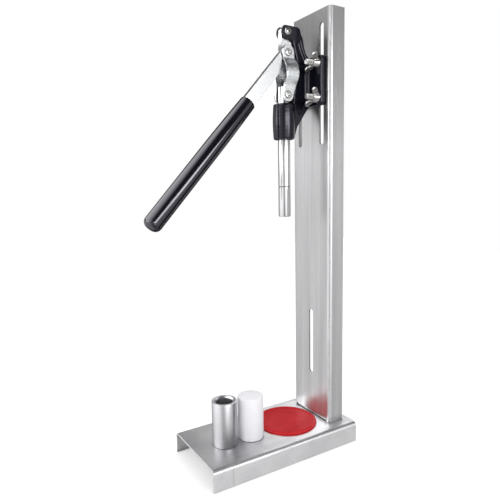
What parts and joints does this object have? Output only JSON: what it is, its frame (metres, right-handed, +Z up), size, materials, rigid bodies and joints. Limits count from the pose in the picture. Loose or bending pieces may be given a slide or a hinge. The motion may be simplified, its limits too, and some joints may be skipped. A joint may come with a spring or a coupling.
{
  "type": "bench lever press for closing bottles",
  "caption": "Manual bench press with a toggle lever, a sliding clamped head and a plunger that pushes closures onto a bottle standing on its base.",
  "frame": {"origin": "on the bench, under the middle of the machine's bounding box", "axes": "+Z up along the column, X across the base, the operator's lever towards -Y"},
  "size_m": [0.12, 0.2945, 0.625],
  "materials": {
    "stainless_sheet": "brushed along its length",
    "zinc_plate": "bright zinc",
    "nickel_plate": "bright nickel",
    "chromed_rod": "polished chrome",
    "turned_steel": "fine turned",
    "black_enamel": "glossy enamel",
    "black_vinyl": "glossy dipped vinyl",
    "red_mat": "satin",
    "white_plastic": "satin"
  },
  "bodies": {
    "frame": {"base": "stainless_sheet", "column": "stainless_sheet", "foot_bolts": "zinc_plate", "foot_washers": "zinc_plate", "foot_nuts": "zinc_plate", "bottle_mat": "red_mat"},
    "carriage": {"head_casting": "black_enamel", "clamp_bolts": "zinc_plate", "clamp_washers": "zinc_plate", "top_pivot_bolt": "zinc_plate", "top_pivot_nut": "zinc_plate"},
    "lever": {"lever_channel": "nickel_plate", "grip": "black_vinyl"},
    "links": {"link_right": "nickel_plate", "link_left": "nickel_plate", "middle_rivet": "zinc_plate", "low_rivets": "zinc_plate"},
    "plunger": {"plunger_rod": "chromed_rod", "cross_pin": "zinc_plate", "head_stud": "zinc_plate"},
    "pressing_head": {"pressing_head": "chromed_rod"},
    "steel_head": {"steel_head": "turned_steel"},
    "white_head": {"white_head": "white_plastic"},
    "wing_nut_upper_right": {"wing_nut_upper_right": "zinc_plate"},
    "wing_nut_upper_left": {"wing_nut_upper_left": "zinc_plate"},
    "wing_nut_lower_right": {"wing_nut_lower_right": "zinc_plate"},
    "wing_nut_lower_left": {"wing_nut_lower_left": "zinc_plate"}
  },
  "joints": [
    {"name": "carriage_slide", "type": "slide", "parent": "frame", "child": "carriage", "axis": [0, 0, 1], "range_m": [-0.059, 0.05]},
    {"name": "lever_swing", "type": "hinge", "parent": "carriage", "child": "lever", "pos_m": [0, 0.06435, 0.5929], "axis": [-1, 0, 0], "range_deg": [0, 95]},
    {"name": "links_fold", "type": "hinge", "parent": "lever", "child": "links", "pos_m": [0, 0.06595, 0.566], "axis": [-1, 0, 0], "range_deg": [-124.3, 0]},
    {"name": "plunger_slide", "type": "slide", "parent": "carriage", "child": "plunger", "axis": [0, 0, 1], "range_m": [0, 0.033]},
    {"name": "pressing_head_off", "type": "slide", "parent": "plunger", "child": "pressing_head", "axis": [0, 0, -1], "range_m": [0, 0.015]},
    {"name": "steel_head_lift", "type": "slide", "parent": "frame", "child": "steel_head", "axis": [0, 0, 1], "range_m": [0, 0.1]},
    {"name": "white_head_lift", "type": "slide", "parent": "frame", "child": "white_head", "axis": [0, 0, 1], "range_m": [0, 0.1]},
    {"name": "wing_nut_upper_right_turn", "type": "hinge", "parent": "carriage", "child": "wing_nut_upper_right", "pos_m": [0.0246, 0.10125, 0.5515], "axis": [0, -1, 0], "continuous": true},
    {"name": "wing_nut_upper_left_turn", "type": "hinge", "parent": "carriage", "child": "wing_nut_upper_left", "pos_m": [-0.0246, 0.10125, 0.5515], "axis": [0, -1, 0], "continuous": true},
    {"name": "wing_nut_lower_right_turn", "type": "hinge", "parent": "carriage", "child": "wing_nut_lower_right", "pos_m": [0.0246, 0.10125, 0.5055], "axis": [0, -1, 0], "continuous": true},
    {"name": "wing_nut_lower_left_turn", "type": "hinge", "parent": "carriage", "child": "wing_nut_lower_left", "pos_m": [-0.0246, 0.10125, 0.5055], "axis": [0, -1, 0], "continuous": true}
  ],
  "couplings": [
    {"joint": "links_fold", "follows": "lever_swing", "ratio": -1.3068},
    {"joint": "plunger_slide", "follows": "lever_swing", "m_per_rad": 0.019834}
  ]
}
